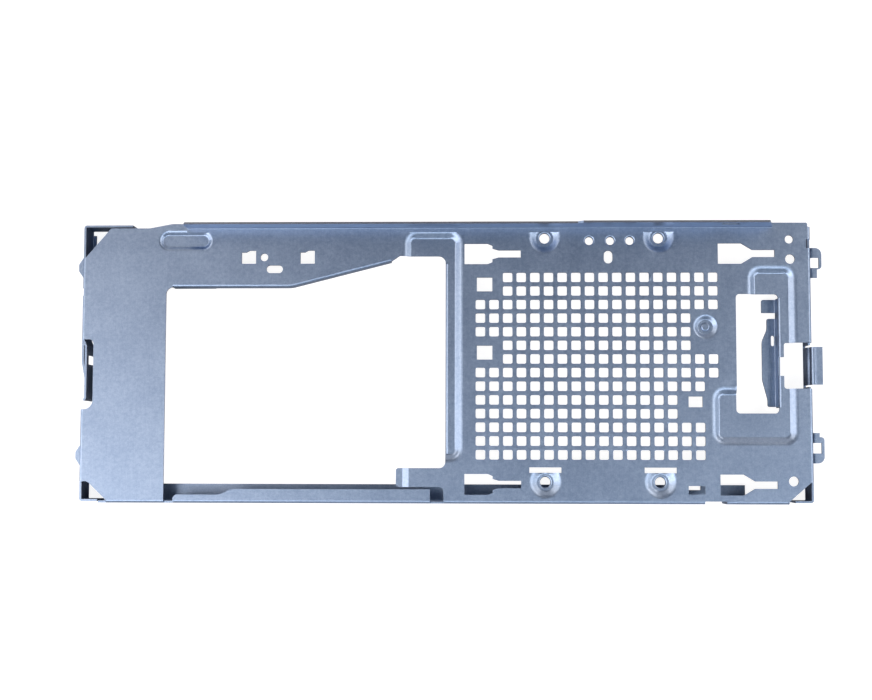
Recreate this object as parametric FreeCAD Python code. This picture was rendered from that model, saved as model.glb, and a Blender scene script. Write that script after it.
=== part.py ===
import FreeCAD, Part
import math
import os

# Hard drive expansion module: one sheet of zinc-plated steel, pierced, pressed and folded.
# The origin is the centre of the four drive screw holes, on the upper faces of their pads.
# +X points to the latch end, +Y to the standing wall and +Z up, away from the folded rims.

# Sheet
sheet = 0.8
bend = 0.3
fold = bend + sheet

# Plate, measured from the origin to its outer faces
plate_left = 204.0
plate_right = 81.0
plate_front = 56.0
plate_back = 51.7
back_step = 1.7
back_step_left = 26.4
back_step_run = 8.8
left_corner_x = 11.0
left_corner_y = 11.6
left_front_x = 10.7
left_front_y = 8.3
left_relief = (2.8, 1.2, 0.65)
right_front_x = 9.5
right_front_y = 8.5
left_notch = (25.0, 28.1, 0.8)
right_notch = (43.4, 46.9, 1.7)
right_corner = 1.6
rim_depth = 12.5

# Drive screw holes and their pressed pads
drive_pitch_x = 44.45
drive_pitch_y = 95.25
pad_sink = 1.6
pad_radius = 3.1
pad_rim_radius = 6.5
pad_flat = 3.6
screw_hole_radius = 2.0
screw_collar_radius = 2.9
screw_collar_depth = 0.7
relief_width = 12.4
relief_height = 2.1

# Standing wall along the drive's side
stand_left = 162.9
stand_right = 66.2
stand_y = 51.7
stand_height = 12.0
stand_low_height = 10.0
stand_step_x = -9.8
stand_cut_left = (1.0, 3.0)
stand_cut_right = (3.0, 11.0)
stand_slot_x = 49.0
stand_slot_width = 6.5
stand_slot_height = 3.6
stand_slot_top = 2.4

# Front rim with its inward flange
flange_width = 7.2
flange_left = 26.0
flange_right = 24.4
flange_recess_x = 32.9
flange_recess_width = 6.3
flange_recess_depth = 2.0
front_gap_x = 39.2
front_gap_width = 8.4

# Side rims, their corner returns and the left recess
back_return = 19.4
front_return = 7.0
return_inset = 1.4
front_return_inset = 0.55
front_wall_gap = 0.4
foot_tab = (50.5, 40.0, 2.1)
recess_low = -19.6
recess_high = 7.8
recess_depth = 4.8
recess_back_corner = 1.8
recess_front_corner = 3.5
joggle = 1.15
joggle_run = 2.5
inset_end = -16.2
inset_opening = 1.8
bridge_flat = -1.0
bridge_end = -7.2
bridge_height = 3.0

# Large window and its folded edge
window_left_margin = 33.2
window_back = 28.3
window_slope_left = -121.5
window_slope_right = -82.2
window_slope_back = 38.3
window_notch = 40.6
window_notch_x = -78.9
window_right = -61.0
window_corner = 2.7
window_slope_radius = 10.0
window_fold_gap = 2.5
window_deep_right = -152.0
window_deep_depth = 5.4
window_foot_right = -61.7
window_foot_corner = 1.8
window_edge_depth = 4.2
tab_end = -80.2
tab_back = -42.3
tab_front = -49.6
tab_joggle_x = -75.2
tab_joggle = 0.9
tab_root = 2.4
tab_corner = 1.0
tab_joggle_run = 2.4
lip_width = 5.5
lip_narrow = 3.25
lip_right = -66.9
lip_corner = 1.8
lip_ramp_radius = 6.0
lip_left_gap = 3.7
lip_ramp_x = -144.2
lip_ramp_run = 4.6

# Latch window, latch flange and its wing
latch_left = 51.85
latch_right_margin = 12.55
latch_back = 25.5
latch_front = -20.9
latch_corner = 1.5
latch_flange_back = 24.0
latch_flange_front = -18.6
latch_flange_depth = 8.9
wing_width = 5.2
wing_shoulder_back = 12.1
wing_shoulder_front = -15.4
wing_back = 16.5
wing_front = -18.2
wing_flat_back = 7.5
wing_flat_front = -7.6
wing_end_width = 3.2
wing_curve = 5.0
wing_corner = 0.8
hook_back = 24.0
hook_front = 18.8
slit_back = 9.8
slit_front = 5.7
slit_width = 1.3

# Latch opening, spring tongue and thumb tab in the right rim
opening_left_margin = 10.55
opening_corner = 1.0
neck_left_margin = 13.1
opening_back = 6.5
opening_front = -11.3
neck_back = 1.0
neck_front = -6.3
thumb_back = 5.0
thumb_front = -9.7
thumb_reach = 4.45
thumb_drop = 2.0
ridge_offset = 1.7
ridge_height = 0.5
ridge_width = 0.9
ledge_reach = 0.9
ledge_drop = 5.0

# Ears on the side rims
ear_length = 11.8
ear_reach = 4.9
ear_drop = 3.2
ear_rise = 1.6
ear_leg = 3.1
ear_corner = 2.6
ears = ((38.0, 3.4, 1), (-34.3, 1.6, -1))
ear_slot_length = 4.0
ear_slot_width = 3.8
nib_length = 7.8
nib_reach = 1.8
nib_height = 3.0
nib_centres = (36.2, -37.6)

# Pressed pockets, beads and the round boss
press_profile = ((0, 0), (0.3, 0.09), (0.5, 0.32), (0.85, 0.9), (1, 1))
pocket_sink = 1.6
pocket_slope = 3.6
pocket_left = -77.9
pocket_right = -53.9
pocket_back = 50.9
pocket_front = -40.3
pocket_corner = 5.4
frame_left = 56.1
frame_foot_left = 41.9
frame_right_margin = 5.3
frame_back = 36.95
frame_front = -33.6
frame_foot_back = -10.35
frame_corner = 5.2
bead_left = -174.2
bead_right = -152.5
bead_back = 50.9
bead_front = 42.6
bead_sink = 1.2
bead_slope = 2.1
boss_x = 40.1
boss_y = 12.7
boss_radius = 4.95
boss_sink = 1.2
boss_slope = 2.2
boss_centre_radius = 1.7
boss_centre_rise = 0.6

# Ventilation grid and the places that it leaves clear
grid_left = -47.35
grid_back = 32.05
grid_pitch = 5.317
grid_hole = 3.7
grid_columns = 18
grid_rows = 14
port_back = (-45.7, 29.3, 6.0, 5.4)
port_middle = (-45.7, 2.6, 6.0, 5.4)
port_right = (35.9, -16.5, 5.4, 4.1)
port_clear = 5.5
boss_clear_x = 5.5
boss_clear_y = 8.0
frame_clear = 4.1

# Keyholes
key_left = -53.55
key_pitch = 98.65
key_back = 41.3
key_front = -48.55
key_mouth = 9.0
key_taper = 4.3
key_length = 21.95
key_step = 1.9
key_half_step = 3.25
key_half_neck = 2.1
key_half_mouth = 4.0
key_half_slot = 1.4

# Small holes, each from its own edge of the plate
step_hole_lefts = (-141.1, -117.95)
step_hole_width = 5.6
step_hole_front = 37.6
step_hole_back = 42.75
step_hole_shoulder = 1.8
step_hole_run = 1.4
step_hole_shift = 0.75
pin_hole = (-132.2, 40.1, 1.5)
slot_hole = (-128.1, 35.4, 6.4, 3.0)
collar_xs = (-4.9, 3.3, 10.9)
collar_y = 46.4
collar_hole_radius = 1.6
collar_outer_radius = 2.3
collar_depth = 0.9
upright_slot = (2.5, 40.0, 3.4, 5.0)
corner_holes = ((72.7, 46.8, 1.6), (73.0, 39.1, 1.85), (73.2, -47.1, 1.9))
front_port = (36.05, -50.6, 6.3, 3.3)

# Levels and edges that follow from the sizes above
top = pad_sink
under = top - sheet
foot = top - rim_depth
left = -plate_left
right = plate_right
front = -plate_front
back = plate_back
over = 1.0


def at_height(z):
    """Places a drawn outline flat at height z."""
    return lambda a, b: FreeCAD.Vector(a, b, z)


def upright_at(start, along):
    """Places an outline upright at start, with its first axis to the left of the direction along."""
    side = FreeCAD.Vector(0, 0, 1).cross(along)
    return lambda a, b: start + side * a + FreeCAD.Vector(0, 0, b)


def direction(a, b):
    length = math.hypot(b[0] - a[0], b[1] - a[1])
    return ((b[0] - a[0]) / length, (b[1] - a[1]) / length)


def wire(corners, place, closed=True):
    """Straight runs joined by tangent arcs. A corner is (a, b) or (a, b, radius)."""
    count = len(corners)
    spans = []
    for index, corner in enumerate(corners):
        here = corner[:2]
        radius = corner[2] if len(corner) > 2 else 0
        if radius == 0 or (not closed and index in (0, count - 1)):
            spans.append((here, here, here))
            continue
        to_last = direction(here, corners[index - 1])
        to_next = direction(here, corners[(index + 1) % count])
        half = math.acos(to_last[0] * to_next[0] + to_last[1] * to_next[1]) / 2
        reach = radius / math.tan(half)
        towards = direction((0, 0), (to_last[0] + to_next[0], to_last[1] + to_next[1]))
        depth = radius / math.sin(half) - radius
        spans.append((
            (here[0] + to_last[0] * reach, here[1] + to_last[1] * reach),
            (here[0] + towards[0] * depth, here[1] + towards[1] * depth),
            (here[0] + to_next[0] * reach, here[1] + to_next[1] * reach)))
    edges = []
    for index, (enter, middle, leave) in enumerate(spans):
        if enter != leave:
            edges.append(Part.Arc(place(*enter), place(*middle), place(*leave)).toShape())
        if index < count - 1 or closed:
            following = spans[(index + 1) % count][0]
            if math.hypot(following[0] - leave[0], following[1] - leave[1]) > 1e-6:
                edges.append(Part.LineSegment(place(*leave), place(*following)).toShape())
    return Part.Wire(edges)


def block(corners, low, high):
    return Part.Face(wire(corners, at_height(low))).extrude(FreeCAD.Vector(0, 0, high - low))


def rectangle(x_low, x_high, y_low, y_high, radius=0):
    return [(x, y, radius) for x, y in ((x_low, y_low), (x_high, y_low), (x_high, y_high), (x_low, y_high))]


def port(place_and_size, radius=0):
    """A rectangle given as (centre x, centre y, width, height)."""
    x, y, width, height = place_and_size
    return rectangle(x - width / 2, x + width / 2, y - height / 2, y + height / 2, radius)


def strip(path):
    """The closed outline of sheet that follows a middle line, with every turn bent."""
    sides = {1: [], -1: []}
    for index, here in enumerate(path):
        coming = direction(path[index - 1], here) if index else direction(here, path[1])
        going = direction(here, path[index + 1]) if index + 1 < len(path) else coming
        spread = sheet / 2 / (1 + coming[0] * going[0] + coming[1] * going[1])
        shift = (-(coming[1] + going[1]) * spread, (coming[0] + going[0]) * spread)
        turn = coming[0] * going[1] - coming[1] * going[0]
        for side in sides:
            radius = 0 if abs(turn) < 1e-9 else bend if turn * side > 0 else fold
            sides[side].append((here[0] + shift[0] * side, here[1] + shift[1] * side, radius))
    return sides[1] + sides[-1][::-1]


def folded(path, start, end):
    """Sheet bent along a path of (outward, up) points, with its outside on the right of start to end."""
    first = FreeCAD.Vector(start[0], start[1], 0)
    last = FreeCAD.Vector(end[0], end[1], 0)
    along = (last - first).normalize()
    outward_path = [(-out, up) for out, up in path]
    face = Part.Face(wire(strip(outward_path), upright_at(first, along)))
    return face.extrude(last - first)


def down_from(level, depth):
    """The path from a plate at a level over its edge and down, with the outer face at 0."""
    return [(-fold - over, level - sheet / 2), (-sheet / 2, level - sheet / 2), (-sheet / 2, level - depth)]


def grown(corners, amount):
    """A closed outline, drawn anticlockwise, moved outwards by an amount."""
    result = []
    for index, (x, y, radius) in enumerate(corners):
        coming = direction(corners[index - 1], (x, y))
        going = direction((x, y), corners[(index + 1) % len(corners)])
        spread = amount / (1 + coming[0] * going[0] + coming[1] * going[1])
        turn = coming[0] * going[1] - coming[1] * going[0]
        result.append((
            x + (coming[1] + going[1]) * spread,
            y - (coming[0] + going[0]) * spread,
            radius + amount if turn > 0 else radius - amount))
    return result


def press_steps(sink, slope):
    """Distances in from the rim and down of a pressed slope: rounded over, straight, then rounded out."""
    for across, down in press_profile:
        yield slope * across, sink * down


def press_allowance(sink, slope):
    """How much wider the underside of a pressed slope is, for a sheet of even thickness."""
    return sheet * math.tan(math.atan(sink / slope) / 2)


def pressed(body, corners, sink, slope):
    """Sinks the plate inside an outline."""
    wider = grown(corners, press_allowance(sink, slope))
    hollow = []
    belly = []
    for inward, down in press_steps(sink, slope):
        hollow.append(wire(grown(corners, -inward), at_height(top - down)))
        belly.append(wire(grown(wider, -inward), at_height(under - down)))
    return body.fuse(Part.makeLoft(belly, True, True)).cut(Part.makeLoft(hollow, True, True))


def dish(radius, sink, slope, level, wider):
    """A round pressed form, turned about the Z axis."""
    steps = [(radius + wider - inward, level - down) for inward, down in press_steps(sink, slope)]
    outline = [(0, level)] + steps + [(0, level - sink)]
    face = Part.Face(wire(outline, lambda a, b: FreeCAD.Vector(a, 0, b)))
    return face.revolve(FreeCAD.Vector(0, 0, 0), FreeCAD.Vector(0, 0, 1), 360)


def cylinder(x, y, radius, low, high):
    return Part.makeCylinder(radius, high - low, FreeCAD.Vector(x, y, low))


def box(x_low, x_high, y_low, y_high, z_low, z_high):
    corner = FreeCAD.Vector(x_low, y_low, z_low)
    return Part.makeBox(x_high - x_low, y_high - y_low, z_high - z_low, corner)


def through(corners):
    return block(corners, under - pad_sink - over, top + over)


# Plate

def plate():
    """The flat plate, out to the lines where its bends start."""
    step_left = left + back_step_left
    raised = back + back_step
    relief_reach, relief_run, relief_fall = left_relief
    outline = [
        (left + fold, front + left_front_y),
        (left + fold, recess_low),
        (left + recess_depth, recess_low, recess_front_corner),
        (left + recess_depth, recess_high, recess_back_corner),
        (left + fold, recess_high),
        (left + fold, back - left_corner_y),
        (left + left_corner_x, back),
        (step_left, back, back_step_run),
        (step_left + back_step_run, raised, back_step_run),
        (-stand_left, raised),
        (-stand_left, stand_y - bend),
        (stand_right, stand_y - bend),
        (stand_right, raised),
        (right - right_corner, raised),
        (right - fold, raised - right_corner + fold),
        (right - fold, front + right_front_y),
        (right - right_front_x, front + fold),
        (left + left_front_x, front + fold),
        (left + relief_reach + relief_run, front + left_front_y - relief_fall),
        (left + relief_reach, front + left_front_y)]
    return block(outline[::-1], under, top)


def pressed_forms(body):
    """The pocket round the window's corner, the frame round the latch window, the bead and the boss."""
    pocket = rectangle(pocket_left, pocket_right, pocket_front, pocket_back, pocket_corner)
    body = pressed(body, pocket, pocket_sink, pocket_slope)
    frame_right = right - frame_right_margin
    frame = [
        (frame_foot_left, frame_front), (frame_right, frame_front), (frame_right, frame_back),
        (frame_left, frame_back), (frame_left, frame_foot_back), (frame_foot_left, frame_foot_back)]
    frame = [(x, y, frame_corner) for x, y in frame]
    body = pressed(body, frame, pocket_sink, pocket_slope)
    bead_radius = (bead_back - bead_front) / 2
    bead = rectangle(bead_left, bead_right, bead_front, bead_back, bead_radius)
    body = pressed(body, bead, bead_sink, bead_slope)
    place = FreeCAD.Vector(boss_x, boss_y, 0)
    allowance = press_allowance(boss_sink, boss_slope)
    belly = dish(boss_radius, boss_sink, boss_slope, under, allowance).translated(place)
    hollow = dish(boss_radius, boss_sink, boss_slope, top, 0).translated(place)
    floor = top - boss_sink
    nub = cylinder(boss_x, boss_y, boss_centre_radius, floor - sheet / 2, floor + boss_centre_rise)
    return body.fuse(belly).cut(hollow).fuse(nub)


# Drive pads

def drive_pads(body):
    """Four pressed pads, cut off at the wall or at a relief slot, each with a collared screw hole."""
    allowance = press_allowance(pad_sink, pad_rim_radius - pad_radius)
    for x in (-drive_pitch_x / 2, drive_pitch_x / 2):
        for y in (-drive_pitch_y / 2, drive_pitch_y / 2):
            place = FreeCAD.Vector(x, y, 0)
            slope = pad_rim_radius - pad_radius
            cut_off = y + pad_flat if y < 0 else stand_y - bend
            reach = 2 * pad_rim_radius
            keep = box(x - reach, x + reach, y - reach, cut_off, foot, top + over)
            belly = dish(pad_rim_radius, pad_sink, slope, under, allowance).translated(place).common(keep)
            hollow = dish(pad_rim_radius, pad_sink, slope, top, 0).translated(place).common(keep)
            collar = cylinder(x, y, screw_collar_radius, -sheet - screw_collar_depth, -sheet / 2)
            hole = cylinder(x, y, screw_hole_radius, -sheet - screw_collar_depth - over, top)
            body = body.fuse(belly).cut(hollow).fuse(collar).cut(hole)
            if y < 0:
                relief = rectangle(
                    x - relief_width / 2, x + relief_width / 2, y + pad_flat, y + pad_flat + relief_height)
                body = body.cut(through(relief))
    return body


# Holes

def grid_holes():
    """The square ventilation holes, apart from those that a port, the boss or the frame displaces."""
    clear = [(x, y, port_clear, port_clear) for x, y, width, height in (port_back, port_middle, port_right)]
    clear.append((boss_x, boss_y, boss_clear_x, boss_clear_y))
    frame_x = (frame_foot_left + right - frame_right_margin) / 2
    frame_y = (frame_front + frame_foot_back) / 2
    frame_reach_x = frame_x - frame_foot_left + frame_clear
    frame_reach_y = frame_foot_back - frame_y + frame_clear
    clear.append((frame_x, frame_y, frame_reach_x, frame_reach_y))
    holes = []
    for row in range(grid_rows):
        for column in range(grid_columns):
            x = grid_left + column * grid_pitch
            y = grid_back - row * grid_pitch
            if not any(abs(x - cx) < dx and abs(y - cy) < dy for cx, cy, dx, dy in clear):
                holes.append(through(port((x, y, grid_hole, grid_hole))))
    return holes


def keyhole(x, y, stepped):
    """A wide mouth that tapers to a narrow slot towards the latch end, straight or with a step."""
    mouth = x + key_mouth
    side = [(x, key_half_mouth), (mouth, key_half_mouth)]
    if stepped:
        side += [(mouth + key_step, key_half_step), (mouth + key_step, key_half_neck)]
    side += [(mouth + key_taper, key_half_slot), (x + key_length, key_half_slot)]
    return through([(a, y - half) for a, half in side] + [(a, y + half) for a, half in side[::-1]])


def step_hole(x):
    """A square hole whose left part is a little lower than its right part."""
    low = step_hole_back - step_hole_shift
    shoulder = x + step_hole_shoulder
    return through([
        (x, step_hole_front), (x + step_hole_width, step_hole_front), (x + step_hole_width, step_hole_back),
        (shoulder + step_hole_run, step_hole_back), (shoulder, low), (x, low)])


def small_holes():
    holes = [through(port(place)) for place in (port_back, port_middle, port_right, front_port)]
    for y in (key_back, key_front):
        holes += [keyhole(key_left, y, True), keyhole(key_left + key_pitch, y, False)]
    holes += [step_hole(x) for x in step_hole_lefts]
    for x, y, radius in corner_holes + (pin_hole,):
        holes.append(cylinder(x, y, radius, under - over, top + over))
    for place in (slot_hole, upright_slot):
        holes.append(through(port(place, min(place[2:]) / 2)))
    return holes


def collared_holes(body):
    """Three holes with collars drawn down out of the plate."""
    for x in collar_xs:
        body = body.fuse(cylinder(x, collar_y, collar_outer_radius, under - collar_depth, under + sheet / 2))
        body = body.cut(cylinder(x, collar_y, collar_hole_radius, foot, top + over))
    return body


# Large window

def edge_fold(body, corners, level, depth):
    """Folds the plate down along a run of its edge, with the window on the right of the run."""
    path = wire(corners, at_height(0), closed=False)
    start = FreeCAD.Vector(corners[0][0], corners[0][1], 0)
    along = FreeCAD.Vector(*direction(corners[0], corners[1]), 0)
    place = upright_at(start, along)
    room = [(0, level - sheet - over), (fold, level - sheet - over), (fold, level + over), (0, level + over)]
    lip = [(-out, up) for out, up in down_from(level, depth)]
    room = path.makePipeShell([wire(room, place)], True, True)
    lip = path.makePipeShell([wire(strip(lip), place)], True, True)
    return body.cut(room).fuse(lip)


def large_window(body):
    """The window beside the drive, with its slanted back edge, folded edges, tab and front lip."""
    window_left = left + window_left_margin
    lip_left = window_left + lip_left_gap
    lip_back = front + lip_width
    opening = [
        (window_left, front - over),
        (window_left, window_back, window_corner),
        (window_slope_left, window_back, window_slope_radius),
        (window_slope_right, window_slope_back),
        (window_notch_x, window_notch),
        (window_right, window_notch, window_corner),
        (window_right, tab_back, tab_root),
        (tab_joggle_x, tab_back),
        (tab_joggle_x, tab_front),
        (window_foot_right, tab_front, window_foot_corner),
        (window_foot_right, front - over),
        (lip_right, front - over),
        (lip_right, lip_back),
        (lip_ramp_x, lip_back, lip_ramp_radius),
        (lip_ramp_x - lip_ramp_run, front + lip_narrow, lip_ramp_radius),
        (lip_left, front + lip_narrow, lip_corner),
        (lip_left, front - over)]
    body = body.cut(through(opening))
    run = [
        (window_left + window_fold_gap, window_back),
        (window_slope_left, window_back, window_slope_radius),
        (window_slope_right, window_slope_back)]
    body = edge_fold(body, run, top, window_edge_depth)
    body = body.fuse(folded(
        down_from(top, window_deep_depth), (window_left + window_fold_gap, window_back),
        (window_deep_right, window_back)))
    side = [
        (window_right, window_notch - window_corner - bend),
        (window_right, pocket_front + pocket_slope)]
    body = edge_fold(body, side, top - pocket_sink, window_edge_depth)
    return body.fuse(window_tab())


def window_tab():
    """The stepped-down end of the flat tab that reaches out of the plate into the window."""
    middle = top - sheet / 2
    root = tab_joggle_x + over
    path = [
        (-root, middle), (-tab_joggle_x, middle), (-tab_joggle_x + tab_joggle_run, middle - tab_joggle),
        (-tab_end, middle - tab_joggle)]
    plan = [
        (root, tab_front), (root, tab_back),
        (tab_end, tab_back, tab_corner), (tab_end, tab_front, tab_corner)]
    return folded(path, (0, tab_back), (0, tab_front)).common(block(plan, foot, top + over))


# Latch window

def latch_window(body):
    """The window behind the latch end, with a flange whose foot turns out into a wing and a hook."""
    latch_right = right - latch_right_margin
    body = body.cut(through(rectangle(latch_left, latch_right, latch_front, latch_back, latch_corner)))
    level = top - pocket_sink
    run = [(latch_right, latch_flange_back), (latch_right, latch_flange_front)]
    low = top - latch_flange_depth
    body = edge_fold(body, run, level, level - low - fold)
    flat = low + sheet / 2
    foot_path = [(-sheet / 2, low + fold + over), (-sheet / 2, flat), (wing_width + over, flat)]
    turned_out = folded(foot_path, run[0], run[1])
    tip = latch_right - wing_width
    shoulder = latch_right - wing_end_width
    root = latch_right + over
    wing = [
        (root, wing_front), (shoulder, wing_front, wing_corner),
        (shoulder, wing_shoulder_front, wing_curve), (tip, wing_flat_front, wing_curve),
        (tip, wing_flat_back, wing_curve), (shoulder, wing_shoulder_back, wing_curve),
        (shoulder, wing_back, wing_corner), (root, wing_back)]
    hook = [(root, hook_front), (tip, hook_front), (tip, hook_back, wing_corner), (root, hook_back)]
    for plan in (wing, hook):
        body = body.fuse(turned_out.common(block(plan, low - over, top)))
    slit_right = latch_right - bend
    slit = rectangle(
        slit_right - slit_width, slit_right, slit_front, slit_back, slit_width / 2 - sheet / 100)
    return body.cut(block(slit, low - over, low + fold))


# Rims

def rim_bend(start, end):
    """The bend between the plate and a rim, with the outside on the right of the run."""
    return folded(down_from(top, fold + over), start, end)


def foot_turn(width):
    """The path from a rim round its foot and inwards, out to a width from the rim's outer face."""
    middle = foot + sheet / 2
    return [(-sheet / 2, foot + fold + over), (-sheet / 2, middle), (-width, middle)]


def front_rim(body):
    """The rim along the front, turned in again at its foot, with gaps at the window's lip."""
    start = left + front_return + front_wall_gap
    end = right - right_front_x
    window_left = left + window_left_margin
    lip_left = window_left + lip_left_gap
    spans = [(left + left_front_x, window_left), (lip_left, lip_right), (window_foot_right, end)]
    for low, high in spans:
        body = body.fuse(rim_bend((low, front), (high, front)))
    wall = box(start, end, front, front + sheet, foot + fold, top - fold)
    flange_start = left + flange_left
    flange = folded(foot_turn(flange_width), (flange_start, front), (right - flange_right, front))
    plain = [(start, flange_start), (right - flange_right, end)]
    for low, high in plain:
        wall = wall.fuse(box(low, high, front, front + sheet, foot, foot + fold))
    recess = box(
        flange_recess_x, flange_recess_x + flange_recess_width,
        front + flange_width - flange_recess_depth, front + flange_width + over, foot - over, foot + fold)
    gap = box(
        front_gap_x, front_gap_x + front_gap_width, front - over, front + fold, foot - over, top + over)
    return body.fuse(wall).fuse(flange.cut(recess)).cut(gap)


def left_rim(body):
    """The rim along the left end, set in behind the recess, with a return round each corner."""
    x = left + sheet / 2
    back_y = back + return_inset - sheet / 2
    front_y = front + front_return_inset + sheet / 2
    inset_x = x + joggle
    back_part = [
        (left + back_return, back_y), (x, back_y), (x, recess_high), (inset_x, recess_high - joggle_run),
        (inset_x, inset_end + sheet / 2), (left + sheet, inset_end + sheet / 2)]
    front_part = [(x, recess_low), (x, front_y), (left + front_return, front_y)]
    bridge = [
        (x, recess_high), (x, bridge_flat), (inset_x, bridge_end), (inset_x, bridge_end - sheet)]
    high = top - fold
    for path in (back_part, front_part):
        body = body.fuse(block(strip(path), foot, high))
    body = body.cut(box(
        left + sheet, inset_x + sheet, -inset_opening, inset_opening, foot - over, high - bridge_height))
    body = body.fuse(block(strip(bridge), high - bridge_height, high))
    for start, end in ((back - left_corner_y, recess_high), (recess_low, front + left_front_y)):
        body = body.fuse(rim_bend((left, start), (left, end)))
    for y in nib_centres:
        body = nib(body, x, y)
    tab_start, tab_stop, tab_width = foot_tab
    body = body.fuse(folded(foot_turn(tab_width), (left, tab_start), (left, tab_stop)))
    notch_low, notch_high, notch_depth = left_notch
    return body.cut(box(left - over, left + notch_depth, notch_low, notch_high, high - sheet, top + over))


def nib(body, x, y):
    """A short bump lanced out of the left rim, closed at its upper end."""
    run = (nib_length - nib_height) / 2
    high = top - fold
    low = high - nib_height
    side = nib_length / 2 - sheet
    bump = [
        (x, y + nib_length / 2), (x - nib_reach, y + run / 2), (x - nib_reach, y - run / 2),
        (x, y - nib_length / 2)]
    path = [(x, y + nib_length / 2 + over)] + bump + [(x, y - nib_length / 2 - over)]
    body = body.cut(box(left - over, left + fold, y - side, y + side, low, high))
    return body.fuse(block(strip(path), low, high)).fuse(block(bump, high - sheet, high))


def right_rim(body):
    """The rim along the latch end, with its corner return, ears, opening and sprung thumb tab."""
    x = right - sheet / 2
    front_y = front + front_return_inset + sheet / 2
    end = back + back_step - right_corner
    path = [(right - front_return, front_y), (x, front_y), (x, end)]
    body = body.fuse(block(strip(path), foot, top - fold))
    body = body.fuse(rim_bend((right, front + right_front_y), (right, end)))
    for y, leg_length, way in ears:
        body = ear(body, y, leg_length, way)
    opening_left = right - opening_left_margin
    opening = [
        (opening_left, opening_front, opening_corner), (right + over, opening_front),
        (right + over, opening_back), (opening_left, opening_back, opening_corner)]
    neck = rectangle(right - neck_left_margin, opening_left + opening_corner, neck_front, neck_back)
    free = rectangle(right - sheet - over, right + over, thumb_front - sheet, thumb_back + sheet)
    body = body.cut(through(opening)).cut(through(neck)).cut(block(free, foot + fold, top))
    notch_low, notch_high, notch_depth = right_notch
    notch = box(right - notch_depth, right + over, notch_low, notch_high, top - fold - sheet, top + over)
    return body.cut(notch).fuse(thumb_tongue())


def ear(body, y, leg_length, way):
    """An ear lanced out of the rim, with a slot between its legs. The one away from way is narrow."""
    level = top - ear_drop - sheet / 2
    half = ear_length / 2
    tip = right + ear_reach
    path = [
        (-sheet / 2, level - ear_rise - over), (-sheet / 2, level - ear_rise), (ear_rise - sheet / 2, level),
        (ear_reach, level)]
    knee = y - way * (half - leg_length)
    plan = [
        (right - sheet, y + way * half), (tip, y + way * half, ear_corner), (tip, knee, ear_corner / 2),
        (right + ear_leg, knee), (right + ear_leg, y - way * half), (right - sheet, y - way * half)]
    strip_out = folded(path, (right, y - half), (right, y + half)).common(block(plan, foot, top))
    slot = rectangle(right, right + ear_slot_width, y - ear_slot_length / 2, y + ear_slot_length / 2)
    lanced = box(right - fold, right + over, y - half, y + half, level - ear_rise, level + ear_rise)
    return body.cut(lanced).fuse(strip_out.cut(block(slot, foot, top)))


def thumb_tongue():
    """The spring tongue that stands in the rim, stepped out and turned flat for the thumb, with a ridge."""
    out = ledge_reach - sheet / 2
    flat_up = top - thumb_drop - sheet / 2
    path = [
        (-sheet / 2, foot), (-sheet / 2, top - ledge_drop - ledge_reach), (out, top - ledge_drop),
        (out, flat_up), (thumb_reach, flat_up)]
    tongue = folded(path, (right, thumb_front), (right, thumb_back))
    ridge_level = flat_up + (sheet - ridge_width + ridge_height) / 2
    ridge_start = FreeCAD.Vector(right + ridge_offset, thumb_front, ridge_level)
    ridge = Part.makeCylinder(
        ridge_width / 2, thumb_back - thumb_front, ridge_start, FreeCAD.Vector(0, 1, 0))
    return tongue.fuse(ridge)


def standing_wall():
    """The wall folded up along the drive's side, lower at its left end, with cut corners and a slot."""
    low = top + stand_low_height
    high = top + stand_height
    middle = stand_y + sheet / 2
    left_run, left_fall = stand_cut_left
    right_run, right_fall = stand_cut_right
    path = [(-fold - over, top - sheet / 2), (0, top - sheet / 2), (0, high)]
    wall = folded(path, (stand_right, middle), (-stand_left, middle))
    profile = [
        (-stand_left, under), (stand_right, under), (stand_right, high - right_fall),
        (stand_right - right_run, high), (stand_step_x + high - low, high), (stand_step_x, low),
        (-stand_left + left_run, low), (-stand_left, low - left_fall)]
    start = middle - 2 * fold - over
    face = Part.Face(wire(profile, lambda a, b: FreeCAD.Vector(a, start, b)))
    slot_x = stand_slot_x - stand_slot_width / 2
    slot_high = high - stand_slot_top
    slot = box(
        slot_x, slot_x + stand_slot_width, stand_y - sheet, stand_y + 2 * sheet,
        slot_high - stand_slot_height, slot_high)
    return wall.common(face.extrude(FreeCAD.Vector(0, 3 * fold + over, 0))).cut(slot)


# Assembly of the one piece

module = pressed_forms(plate())
module = drive_pads(module)
module = module.cut(Part.makeCompound(grid_holes() + small_holes()))
module = collared_holes(module)
module = large_window(module)
module = latch_window(module)
module = front_rim(module)
module = left_rim(module)
module = right_rim(module)
module = module.fuse(standing_wall())
module = module.removeSplitter()

os.makedirs("parts", exist_ok=True)
solids = module.Solids
print("solids", len(solids), "valid", module.isValid(), "volume", round(module.Volume, 1))
solids[0].exportStep("parts/drive_module.step")
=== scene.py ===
import math

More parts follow.
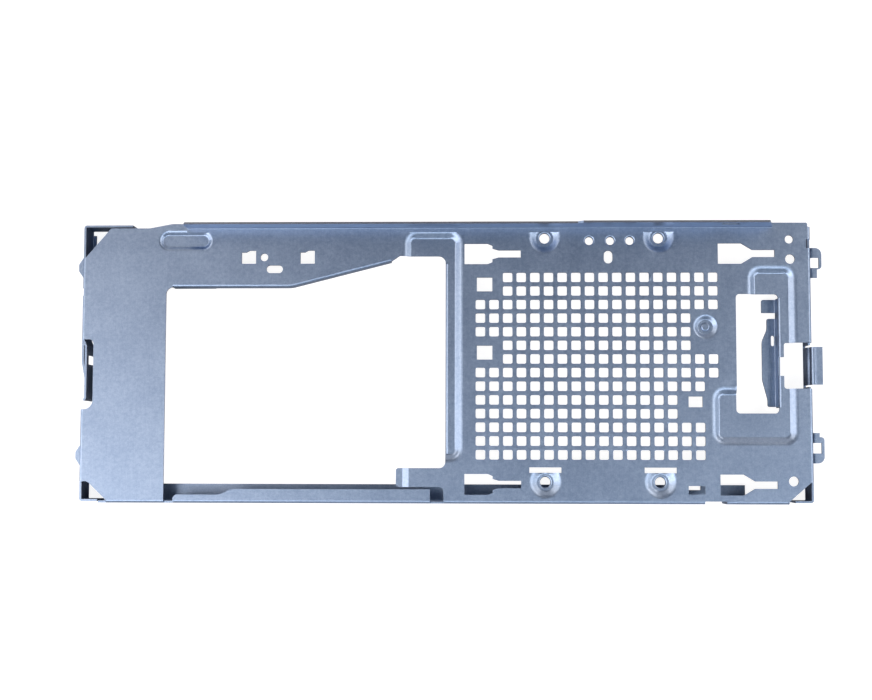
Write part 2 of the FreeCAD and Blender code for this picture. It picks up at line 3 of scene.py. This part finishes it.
import bpy
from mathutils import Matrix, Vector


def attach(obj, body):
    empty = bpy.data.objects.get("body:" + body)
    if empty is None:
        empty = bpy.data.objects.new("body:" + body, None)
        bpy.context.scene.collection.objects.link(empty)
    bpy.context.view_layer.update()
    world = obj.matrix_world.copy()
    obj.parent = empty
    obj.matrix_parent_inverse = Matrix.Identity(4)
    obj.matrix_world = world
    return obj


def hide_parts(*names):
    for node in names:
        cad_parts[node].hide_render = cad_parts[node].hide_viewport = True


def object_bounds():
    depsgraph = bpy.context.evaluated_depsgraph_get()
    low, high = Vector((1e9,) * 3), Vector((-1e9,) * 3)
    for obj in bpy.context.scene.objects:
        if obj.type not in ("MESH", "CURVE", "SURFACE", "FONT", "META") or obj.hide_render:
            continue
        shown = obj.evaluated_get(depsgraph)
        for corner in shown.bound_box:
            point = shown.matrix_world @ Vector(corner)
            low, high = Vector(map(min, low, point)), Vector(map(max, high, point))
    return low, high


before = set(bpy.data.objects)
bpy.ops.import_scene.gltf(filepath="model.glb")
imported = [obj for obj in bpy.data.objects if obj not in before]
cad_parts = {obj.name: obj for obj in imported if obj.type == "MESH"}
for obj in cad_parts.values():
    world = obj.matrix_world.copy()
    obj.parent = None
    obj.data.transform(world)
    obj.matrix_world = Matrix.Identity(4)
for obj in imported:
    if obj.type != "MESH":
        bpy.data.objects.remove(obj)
cad_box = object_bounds()

# The tray: one sheet of electro-galvanised steel, 0.8 mm thick, pierced and pressed in a
# progressive die and then folded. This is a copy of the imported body, with its loose triangles
# joined up and its flat faces made whole.
WELD_DISTANCE = 0.000002
FLAT_ANGLE = math.radians(0.4)
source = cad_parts["drive_module"]
tray = bpy.data.objects.new("folded_tray", source.data.copy())
tray.data.name = "folded_tray"
bpy.context.scene.collection.objects.link(tray)
bpy.ops.object.select_all(action="DESELECT")
tray.select_set(True)
bpy.context.view_layer.objects.active = tray
bpy.ops.object.mode_set(mode="EDIT")
bpy.ops.mesh.select_all(action="SELECT")
bpy.ops.mesh.remove_doubles(threshold=WELD_DISTANCE)
bpy.ops.mesh.dissolve_limited(angle_limit=FLAT_ANGLE)
bpy.ops.object.mode_set(mode="OBJECT")

# The four pressed pads and the boss: each was drawn down into the sheet by a round punch, so
# its side is an even cone with soft ends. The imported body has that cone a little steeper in
# the middle, and the same rings of points are moved here to the punch's own curve.
HOLE_X = 0.022225
HOLE_Y = 0.047625
PAD_RIM = 0.0065
PAD_SLOPE = 0.0034
PAD_SINK = 0.0016
BOSS_X = 0.0401
BOSS_Y = 0.0127
BOSS_RIM = 0.00495
BOSS_SLOPE = 0.0022
BOSS_SINK = 0.0012
# Each pair is a share of the way down the slope, and the share of the sink reached there.
PACKED_CURVE = ((0, 0), (0.3, 0.09), (0.5, 0.32), (0.85, 0.9), (1, 1))
PUNCH_CURVE = ((0, 0), (0.3, 0.2), (0.5, 0.42), (0.85, 0.87), (1, 1))
points = tray.data.vertices


def depth_on(curve, part):
    """How deep a curve of straight runs is, at a part of the way down the slope."""
    for (near, high), (far, low) in zip(curve, curve[1:]):
        if part <= far:
            return high + (low - high) * (part - near) / (far - near)
    return 1


def soften(centre_x, centre_y, rim, slope, sink):
    """Moves a round pressing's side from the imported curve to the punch's."""
    for point in points:
        part = (rim - math.hypot(point.co.x - centre_x, point.co.y - centre_y)) / slope
        if 0 < part < 1:
            point.co.z += sink * (depth_on(PACKED_CURVE, part) - depth_on(PUNCH_CURVE, part))


for side_x in (-1, 1):
    for side_y in (-1, 1):
        soften(side_x * HOLE_X, side_y * HOLE_Y, PAD_RIM, PAD_SLOPE, PAD_SINK)
soften(BOSS_X, BOSS_Y, BOSS_RIM, BOSS_SLOPE, BOSS_SINK)

# The screw holes are drawn through their pads by a punch that leaves the way in rounded, as
# are three smaller holes by the wall, and the boss has a domed nub. These roundings are made
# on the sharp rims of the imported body.
HOLE_RADIUS = 0.0020
HOLE_ROUND = 0.0006
NUB_RADIUS = 0.0017
NUB_TOP = 0.0010
NUB_ROUND = 0.00055
COLLAR_XS = (-0.0049, 0.0033, 0.0109)
COLLAR_Y = 0.0464
COLLAR_RADIUS = 0.0016
COLLAR_ROUND = 0.0006
PLATE_TOP = PAD_SINK
ROUND_SEGMENTS = 4
NEAR = 0.00004


def on_hole_rim(place):
    away = math.hypot(abs(place.x) - HOLE_X, abs(place.y) - HOLE_Y)
    return abs(place.z) < NEAR and abs(away - HOLE_RADIUS) < NEAR


def on_nub_rim(place):
    away = math.hypot(place.x - BOSS_X, place.y - BOSS_Y)
    return abs(place.z - NUB_TOP) < NEAR and abs(away - NUB_RADIUS) < NEAR


def on_collar_rim(place):
    away = min(math.hypot(place.x - x, place.y - COLLAR_Y) for x in COLLAR_XS)
    return abs(place.z - PLATE_TOP) < NEAR and abs(away - COLLAR_RADIUS) < NEAR


def round_edges(is_wanted, offset, segments):
    """Rounds the edges that a test picks."""
    for polygon in tray.data.polygons:
        polygon.select = False
    for point in points:
        point.select = False
    for edge in tray.data.edges:
        edge.select = is_wanted(edge)
    bpy.ops.object.mode_set(mode="EDIT")
    bpy.ops.mesh.select_mode(type="EDGE")
    bpy.ops.mesh.bevel(offset=offset, segments=segments, affect="EDGES")
    bpy.ops.object.mode_set(mode="OBJECT")


for on_rim, offset in (
        (on_hole_rim, HOLE_ROUND), (on_nub_rim, NUB_ROUND), (on_collar_rim, COLLAR_ROUND)):
    round_edges(
        lambda edge: all(on_rim(points[i].co) for i in edge.vertices), offset, ROUND_SEGMENTS)

# The ventilation grid: rows of square holes, pierced by punches whose corners are rounded.
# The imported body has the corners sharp, and an edge where two sides of a hole meet is one.
GRID_HOLE = 0.0037
GRID_CORNER = 0.00055
CORNER_SEGMENTS = 2
grid_sides = {}
for polygon in tray.data.polygons:
    places = [points[i].co for i in polygon.vertices]
    width_x, width_y = (
        max(place[axis] for place in places) - min(place[axis] for place in places)
        for axis in (0, 1))
    as_wide = abs(max(width_x, width_y) - GRID_HOLE) < NEAR
    if len(places) == 4 and as_wide and min(width_x, width_y) < NEAR:
        for key in polygon.edge_keys:
            grid_sides[key] = grid_sides.get(key, 0) + 1


def is_grid_corner(edge):
    first, second = (points[i].co for i in edge.vertices)
    upright = math.hypot(first.x - second.x, first.y - second.y) < NEAR
    return upright and grid_sides.get(edge.key, 0) == 2


round_edges(is_grid_corner, GRID_CORNER, CORNER_SEGMENTS)

# The cut edges: the sheet was plated before it was cut, so they show bare steel, a little
# darker than the zinc. The die rolls them over by about a tenth of a millimetre, drawn at
# nearly a fifth so that it shows.
EDGE_ANGLE = math.radians(40)
EDGE_ROUND = 0.00018
EDGE_SEGMENTS = 1
SMOOTH_ANGLE = math.radians(32)
SHEET = 0.0008
ABOVE_PLATE = 10 * SHEET
UPRIGHT_NORMAL = 0.02
LEVEL_NORMAL = 0.98
ZINC_SLOT = 0
CUT_SLOT = 1


def is_cut_face(polygon):
    """Tells a face as tall as the sheet is thick, as in a hole, or one on the wall's top."""
    heights = [points[i].co.z for i in polygon.vertices]
    as_tall = abs(max(heights) - min(heights) - SHEET) < NEAR
    stands = abs(polygon.normal.z) < UPRIGHT_NORMAL
    lies_high = polygon.normal.z > LEVEL_NORMAL and min(heights) > ABOVE_PLATE
    return (stands and as_tall) or lies_high


zinc = bpy.data.materials.new("electro_galvanised_steel")
cut = bpy.data.materials.new("sheared_steel_edge")
tray.data.materials.clear()
tray.data.materials.append(zinc)
tray.data.materials.append(cut)
for polygon in tray.data.polygons:
    polygon.material_index = CUT_SLOT if is_cut_face(polygon) else ZINC_SLOT
rolled_edges = tray.modifiers.new("rolled_edges", "BEVEL")
rolled_edges.width = EDGE_ROUND
rolled_edges.segments = EDGE_SEGMENTS
rolled_edges.limit_method = "ANGLE"
rolled_edges.angle_limit = EDGE_ANGLE
rolled_edges.material = CUT_SLOT
bpy.ops.object.modifier_apply(modifier="rolled_edges")
bpy.ops.object.shade_smooth_by_angle(angle=SMOOTH_ANGLE)
even_light = tray.modifiers.new("even_light", "WEIGHTED_NORMAL")
even_light.keep_sharp = True
bpy.ops.object.modifier_apply(modifier="even_light")


# The steel's finish: zinc put on in a bath by a current, and left as it comes. It gives the
# eye a satin blue-grey metal with a fine frosted grain, soft clouds and a few faint scuffs.
def linear(hex_colour):
    """Turns an sRGB hex colour into the linear colour that a shader takes."""
    channels = [int(hex_colour[i:i + 2], 16) / 255 for i in (1, 3, 5)]
    return [
        c / 12.92 if c <= 0.04045 else ((c + 0.055) / 1.055) ** 2.4 for c in channels] + [1.0]


def empty_tree(owner):
    """Gives a material or a world a node tree with nothing in it."""
    owner.use_nodes = True
    owner.node_tree.nodes.clear()
    return owner.node_tree


def add_node(tree, kind, settings=None, **links):
    """Adds a shader node. Each link is a socket or a plain value, and i2 is input number 2."""
    node = tree.nodes.new(kind)
    for name, value in (settings or {}).items():
        setattr(node, name, value)
    for name, value in links.items():
        by_number = name[0] == "i" and name[1:].isdigit()
        socket = node.inputs[int(name[1:])] if by_number else node.inputs[name.replace("_", " ")]
        if isinstance(value, bpy.types.NodeSocket):
            tree.links.new(value, socket)
        else:
            socket.default_value = value
    return node


# The zinc's crystals are about a third of a millimetre across, drawn here at half a
# millimetre so that they show. Patches of them about 1.2 mm across lie a little lighter or
# darker, and drag marks from the die run across the sheet, a third of a millimetre apart.
GRAIN = 0.0005
PATCH = 0.0012
DRAG = 0.00035
DRAG_LENGTH = 0.012
CLOUD = 0.018
PATCH_SHARE = 0.5
DRAG_SHARE = 0.14
CLOUD_SHARE = 0.18
DARK_END = 0.38
LIGHT_END = 0.62
ZINC_DARK = "#7b8eab"
ZINC_LIGHT = "#8fa1bc"
ZINC_SMOOTHEST = 0.36
ZINC_ROUGHEST = 0.42
GRAIN_DEPTH = 0.00003
tree = empty_tree(zinc)
place = add_node(tree, "ShaderNodeTexCoord").outputs["Object"]
grain = add_node(
    tree, "ShaderNodeTexNoise", Vector=place, Scale=1 / GRAIN, Detail=3.0, Roughness=0.6)
patch = add_node(
    tree, "ShaderNodeTexNoise", Vector=place, Scale=1 / PATCH, Detail=2.0, Roughness=0.55)
cloud = add_node(
    tree, "ShaderNodeTexNoise", Vector=place, Scale=1 / CLOUD, Detail=2.0, Roughness=0.5)
along = add_node(
    tree, "ShaderNodeMapping", Vector=place, Scale=(1 / DRAG, 1 / DRAG_LENGTH, 1 / DRAG))
drag = add_node(
    tree, "ShaderNodeTexNoise", Vector=along.outputs["Vector"], Scale=1.0, Detail=2.0,
    Roughness=0.5)
crystal = add_node(
    tree, "ShaderNodeMix", {"data_type": "FLOAT"}, i0=PATCH_SHARE,
    i2=grain.outputs["Fac"], i3=patch.outputs["Fac"]).outputs[0]
marked = add_node(
    tree, "ShaderNodeMix", {"data_type": "FLOAT"}, i0=DRAG_SHARE,
    i2=crystal, i3=drag.outputs["Fac"]).outputs[0]
mottle = add_node(
    tree, "ShaderNodeMix", {"data_type": "FLOAT"}, i0=CLOUD_SHARE,
    i2=marked, i3=cloud.outputs["Fac"]).outputs[0]
tone = add_node(tree, "ShaderNodeValToRGB", Fac=mottle)
ends = ((DARK_END, ZINC_DARK), (LIGHT_END, ZINC_LIGHT))
for element, (position, colour) in zip(tone.color_ramp.elements, ends):
    element.position = position
    element.color = linear(colour)
gloss = add_node(
    tree, "ShaderNodeMapRange", Value=mottle, From_Min=DARK_END, From_Max=LIGHT_END,
    To_Min=ZINC_SMOOTHEST, To_Max=ZINC_ROUGHEST)
bump = add_node(
    tree, "ShaderNodeBump", Strength=0.12, Distance=GRAIN_DEPTH, Height=crystal)
surface = add_node(
    tree, "ShaderNodeBsdfPrincipled", Base_Color=tone.outputs["Color"], Metallic=1.0,
    Roughness=gloss.outputs["Result"], Normal=bump.outputs["Normal"])
add_node(tree, "ShaderNodeOutputMaterial", Surface=surface.outputs["BSDF"])

# Bare cut steel gives the eye a duller, greyer line round every hole and along every rim,
# with fine shear marks down through the sheet, about 0.3 mm apart.
SHEAR = 0.0003
SHEAR_DEPTH = 0.00005
DARK_END = 0.35
LIGHT_END = 0.65
EDGE_DARK = "#565b66"
EDGE_LIGHT = "#777d8a"
tree = empty_tree(cut)
place = add_node(tree, "ShaderNodeTexCoord").outputs["Object"]
down = add_node(
    tree, "ShaderNodeMapping", Vector=place, Scale=(1 / SHEAR, 1 / SHEAR, 1 / SHEET))
shear = add_node(
    tree, "ShaderNodeTexNoise", Vector=down.outputs["Vector"], Scale=1.0, Detail=2.0,
    Roughness=0.5)
tone = add_node(tree, "ShaderNodeValToRGB", Fac=shear.outputs["Fac"])
ends = ((DARK_END, EDGE_DARK), (LIGHT_END, EDGE_LIGHT))
for element, (position, colour) in zip(tone.color_ramp.elements, ends):
    element.position = position
    element.color = linear(colour)
bump = add_node(
    tree, "ShaderNodeBump", Strength=0.2, Distance=SHEAR_DEPTH, Height=shear.outputs["Fac"])
surface = add_node(
    tree, "ShaderNodeBsdfPrincipled", Base_Color=tone.outputs["Color"], Metallic=1.0,
    Roughness=0.5, Normal=bump.outputs["Normal"])
add_node(tree, "ShaderNodeOutputMaterial", Surface=surface.outputs["BSDF"])
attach(tray, "root")
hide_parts("drive_module")

# The table: a smooth white board, which keeps the tray's soft shadow. The camera and the metal
# also see the white that the photograph has there, but metal within a few centimetres sees
# the tray's own shade.
BOARD = 14.0
BOARD_GAP = 0.0002
BOARD_GLOW = 0.90
SHADE_REACH = 0.06
PAPER = "#8f9196"
foot = cad_box[0][2]
bpy.ops.object.select_all(action="DESELECT")
bpy.ops.mesh.primitive_plane_add(size=BOARD, location=(0, 0, foot - BOARD_GAP))
board = bpy.context.object
board.name = "white_board"
white = bpy.data.materials.new("white_board")
tree = empty_tree(white)
paper = add_node(tree, "ShaderNodeBsdfDiffuse", Color=linear(PAPER))
glow = add_node(tree, "ShaderNodeEmission", Color=(1, 1, 1, 1), Strength=BOARD_GLOW)
lit = add_node(
    tree, "ShaderNodeAddShader", i0=paper.outputs["BSDF"], i1=glow.outputs["Emission"])
ray = add_node(tree, "ShaderNodeLightPath").outputs
far = add_node(
    tree, "ShaderNodeMath", {"operation": "GREATER_THAN"},
    i0=ray["Ray Length"], i1=SHADE_REACH)
mirrored = add_node(
    tree, "ShaderNodeMath", {"operation": "MULTIPLY"},
    i0=ray["Is Glossy Ray"], i1=far.outputs[0])
looked_at = add_node(
    tree, "ShaderNodeMath", {"operation": "MAXIMUM"},
    i0=ray["Is Camera Ray"], i1=mirrored.outputs[0])
seen = add_node(
    tree, "ShaderNodeMath", {"operation": "MAXIMUM"},
    i0=looked_at.outputs[0], i1=ray["Is Transmission Ray"])
choice = add_node(
    tree, "ShaderNodeMixShader", i0=seen.outputs[0],
    i1=paper.outputs["BSDF"], i2=lit.outputs["Shader"])
# From below, the board is clear, so that the tray's underside can be looked at through it,
# and so it is to the metal that rests on it, which would be black there otherwise.
CONTACT = 0.0015
below = add_node(tree, "ShaderNodeNewGeometry").outputs["Backfacing"]
touching = add_node(
    tree, "ShaderNodeMath", {"operation": "LESS_THAN"}, i0=ray["Ray Length"], i1=CONTACT)
passed = add_node(
    tree, "ShaderNodeMath", {"operation": "MAXIMUM"}, i0=below, i1=touching.outputs[0])
clear = add_node(tree, "ShaderNodeBsdfTransparent")
one_sided = add_node(
    tree, "ShaderNodeMixShader", i0=passed.outputs[0],
    i1=choice.outputs["Shader"], i2=clear.outputs["BSDF"])
add_node(tree, "ShaderNodeOutputMaterial", Surface=one_sided.outputs["Shader"])
board.data.materials.append(white)

# The curtain: low, pale and round, of the board's own white. It stands at the board's far
# side, and is all that a camera beside the tray sees behind it.
CURTAIN_RADIUS = 5.0
CURTAIN_HEIGHT = 1.5
CURTAIN_FOLDS = 96
bpy.ops.object.select_all(action="DESELECT")
bpy.ops.mesh.primitive_cylinder_add(
    vertices=CURTAIN_FOLDS, radius=CURTAIN_RADIUS, depth=CURTAIN_HEIGHT,
    end_fill_type="NOTHING", location=(0, 0, foot + CURTAIN_HEIGHT / 2))
curtain = bpy.context.object
curtain.name = "pale_curtain"
bpy.ops.object.mode_set(mode="EDIT")
bpy.ops.mesh.select_all(action="SELECT")
bpy.ops.mesh.flip_normals()
bpy.ops.object.mode_set(mode="OBJECT")
curtain.data.materials.append(white)

# The studio: a dim even room, with wide soft lamps on the left, over the front edge and on
# the right, two smaller ones at the back corners and a weak one behind.
ROOM_COLOUR = "#a8c6ee"
ROOM_GLOW = 0.16
world = bpy.data.worlds.new("studio")
bpy.context.scene.world = world
tree = empty_tree(world)
room = add_node(tree, "ShaderNodeBackground", Color=linear(ROOM_COLOUR), Strength=ROOM_GLOW)
add_node(tree, "ShaderNodeOutputWorld", Surface=room.outputs["Background"])


def soft_lamp(name, position, aim, width, height, brightness, colour):
    """Hangs a rectangular lamp that faces a point, its face as bright as 1 is white."""
    lamp = bpy.data.lights.new(name, "AREA")
    lamp.shape = "RECTANGLE"
    lamp.size = width
    lamp.size_y = height
    lamp.energy = brightness * math.pi * width * height
    lamp.color = linear(colour)[:3]
    holder = bpy.data.objects.new(name, lamp)
    bpy.context.scene.collection.objects.link(holder)
    holder.location = position
    away = [p - a for p, a in zip(position, aim)]
    flat = math.hypot(away[0], away[1])
    holder.rotation_euler = (math.atan2(flat, away[2]), 0, math.atan2(away[0], -away[1]))


NEUTRAL = "#f4f7f6"
WARM = "#fff7ed"
WARMER = "#fff3e8"
WARMEST = "#ffecd8"
middle = (-0.05, 0, 0)
soft_lamp("left_lamp", (-0.96, -0.50, 0.71), (-0.06, -0.50, 0), 1.1, 1.7, 3.7, WARMER)
soft_lamp("front_lamp", (-0.05, -0.56, 1.03), middle, 1.4, 0.5, 2.65, NEUTRAL)
soft_lamp("right_lamp", (0.78, -0.29, 0.75), (0, -0.16, 0), 0.9, 0.95, 2.7, WARM)
soft_lamp("back_left_lamp", (-0.84, 0.52, 0.82), middle, 0.8, 0.5, 4.3, WARMEST)
soft_lamp("back_right_lamp", (0.76, 0.52, 0.80), middle, 0.8, 0.5, 4.3, WARMEST)
soft_lamp("back_lamp", (-0.05, 1.00, 0.50), middle, 0.9, 0.6, 1.0, WARMEST)

# The camera hangs over the tray a little in front of its middle, and leans to the back, as
# the photograph's did.
camera_data = bpy.data.cameras.new("camera")
camera_data.sensor_width = 36
camera_data.lens = 58.83
camera_data.clip_start = 0.01
camera_data.clip_end = 20
camera = bpy.data.objects.new("camera", camera_data)
bpy.context.scene.collection.objects.link(camera)
camera.location = (-0.04905, -0.03593, 0.55552)
camera.rotation_euler = [math.radians(turn) for turn in (4.084, 1.605, 0.119)]
bpy.context.scene.camera = camera
bpy.context.scene.view_settings.view_transform = "Standard"
